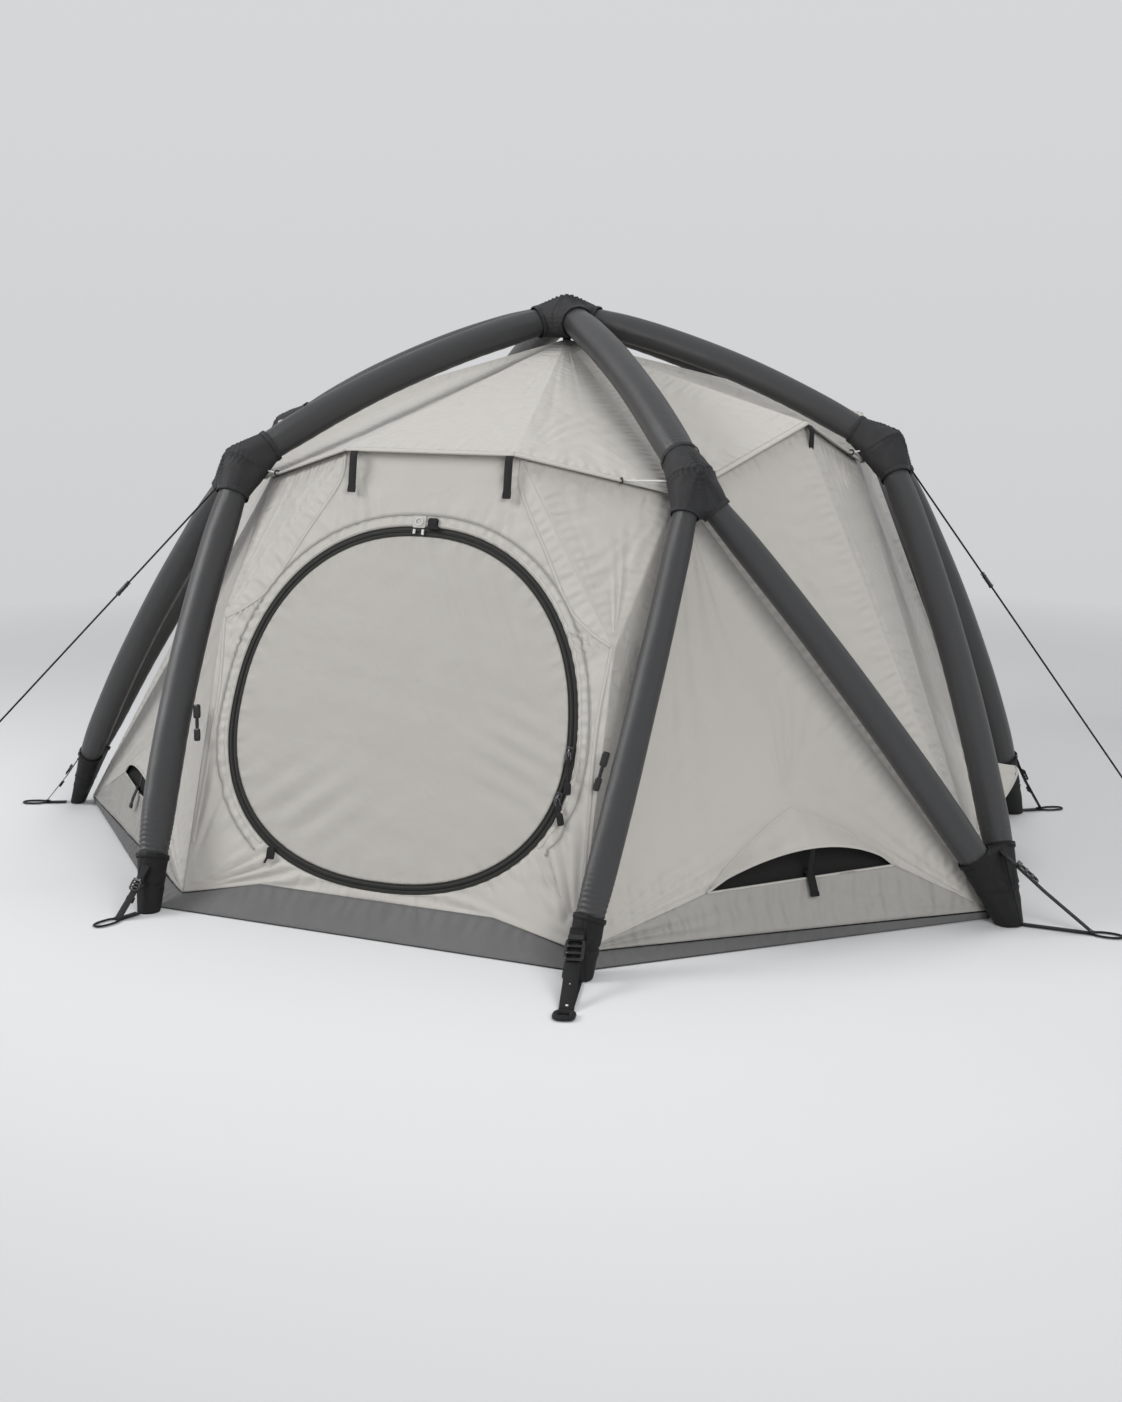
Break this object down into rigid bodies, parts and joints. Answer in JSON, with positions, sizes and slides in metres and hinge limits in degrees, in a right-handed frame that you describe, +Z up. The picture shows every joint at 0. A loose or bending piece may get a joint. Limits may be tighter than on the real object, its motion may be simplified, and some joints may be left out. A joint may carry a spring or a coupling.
{
  "type": "inflatable tent",
  "caption": "Dome tent on an inflatable beam frame, with sewn hub covers, a hung canopy, hooded vents and a round zip door.",
  "frame": {"origin": "on the ground under the apex hub, at the underside of the groundsheet", "axes": "+X to the right when facing the door, +Y from the door to the back, +Z up; the door faces -Y"},
  "size_m": [3.3381, 2.9711, 1.506],
  "materials": {
    "cover_cloth": "heavy charcoal woven cloth",
    "beam_sleeve": "tight charcoal woven sleeve",
    "boot_cloth": "black coated cloth",
    "webbing": "black flat webbing",
    "canopy_cloth": "warm grey coated canopy cloth",
    "floor_cloth": "grey coated floor cloth",
    "zip_tape": "dark grey zip tape with a black coil",
    "slider_metal": "black painted metal",
    "cord": "round braided cord",
    "black_plastic": "moulded black plastic"
  },
  "bodies": {
    "tent": {"apex_hub_cover": "cover_cloth", "hub_cover_front_left": "cover_cloth", "hub_cover_front_right": "cover_cloth", "hub_cover_right": "cover_cloth", "hub_cover_rear_right": "cover_cloth", "hub_cover_rear_left": "cover_cloth", "hub_cover_left": "cover_cloth", "roof_beam_front_left": "beam_sleeve", "roof_beam_front_right": "beam_sleeve", "roof_beam_right": "beam_sleeve", "roof_beam_rear_right": "beam_sleeve", "roof_beam_rear_left": "beam_sleeve", "roof_beam_left": "beam_sleeve", "leg_beam_front_left_to_door_left": "beam_sleeve", "leg_beam_front_left_to_side_front_left": "beam_sleeve", "leg_beam_front_right_to_door_right": "beam_sleeve", "leg_beam_front_right_to_side_front_right": "beam_sleeve", "leg_beam_right_to_side_front_right": "beam_sleeve", "leg_beam_right_to_side_rear_right": "beam_sleeve", "leg_beam_rear_right_to_side_rear_right": "beam_sleeve", "leg_beam_rear_right_to_rear_right": "beam_sleeve", "leg_beam_rear_left_to_rear_left": "beam_sleeve", "leg_beam_rear_left_to_side_rear_left": "beam_sleeve", "leg_beam_left_to_side_rear_left": "beam_sleeve", "leg_beam_left_to_side_front_left": "beam_sleeve", "boot_door_left": "boot_cloth", "boot_door_right": "boot_cloth", "boot_side_front_right": "boot_cloth", "boot_side_rear_right": "boot_cloth", "boot_rear_right": "boot_cloth", "boot_rear_left": "boot_cloth", "boot_side_rear_left": "boot_cloth", "boot_side_front_left": "boot_cloth", "peg_strap_door_left": "webbing", "peg_strap_door_right": "webbing", "peg_strap_side_front_right": "webbing", "peg_strap_side_rear_right": "webbing", "peg_strap_rear_right": "webbing", "peg_strap_rear_left": "webbing", "peg_strap_side_rear_left": "webbing", "peg_strap_side_front_left": "webbing", "roof_canopy": "canopy_cloth", "side_wall_left": "canopy_cloth", "side_wall_right": "canopy_cloth", "door_panel": "canopy_cloth", "rear_panel": "canopy_cloth", "groundsheet_floor": "floor_cloth", "groundsheet_skirt": "floor_cloth", "door_zip": "zip_tape", "guy_line_left": "cord", "guy_line_right": "cord", "inflation_valve": "black_plastic"},
    "door_flap": {"door_flap": "canopy_cloth"},
    "zip_slider_upper": {"zip_slider_upper": "slider_metal"},
    "zip_slider_lower": {"zip_slider_lower": "slider_metal"},
    "guy_adjuster_left": {"guy_adjuster_left": "black_plastic"},
    "guy_adjuster_right": {"guy_adjuster_right": "black_plastic"},
    "valve_cap": {"valve_cap": "black_plastic"}
  },
  "joints": [
    {"name": "door_hinge", "type": "hinge", "parent": "tent", "child": "door_flap", "pos_m": [-0.4474, -1.02632, 0.5184], "axis": [0, -0.3063, -0.9519], "range_deg": [0, 88]},
    {"name": "upper_slider_run", "type": "hinge", "parent": "tent", "child": "zip_slider_upper", "pos_m": [-0.09502, -1.03838, 0.47014], "axis": [0, -0.9519, 0.3063], "range_deg": [0, 31.7]},
    {"name": "lower_slider_run", "type": "hinge", "parent": "tent", "child": "zip_slider_lower", "pos_m": [0.13421, -1.04914, 0.43671], "axis": [0, -0.9519, 0.3063], "range_deg": [-45.7, 0]},
    {"name": "left_adjuster_slide", "type": "slide", "parent": "tent", "child": "guy_adjuster_left", "axis": [-0.4755, -0.5316, -0.7009], "range_m": [-0.2, 0.4]},
    {"name": "right_adjuster_slide", "type": "slide", "parent": "tent", "child": "guy_adjuster_right", "axis": [0.6011, 0, -0.7992], "range_m": [-0.2, 0.4]},
    {"name": "valve_cap_hinge", "type": "hinge", "parent": "tent", "child": "valve_cap", "pos_m": [-0.64407, 1.18788, 0.34275], "axis": [0.8256, 0.4751, 0.3045], "range_deg": [0, 110]}
  ]
}
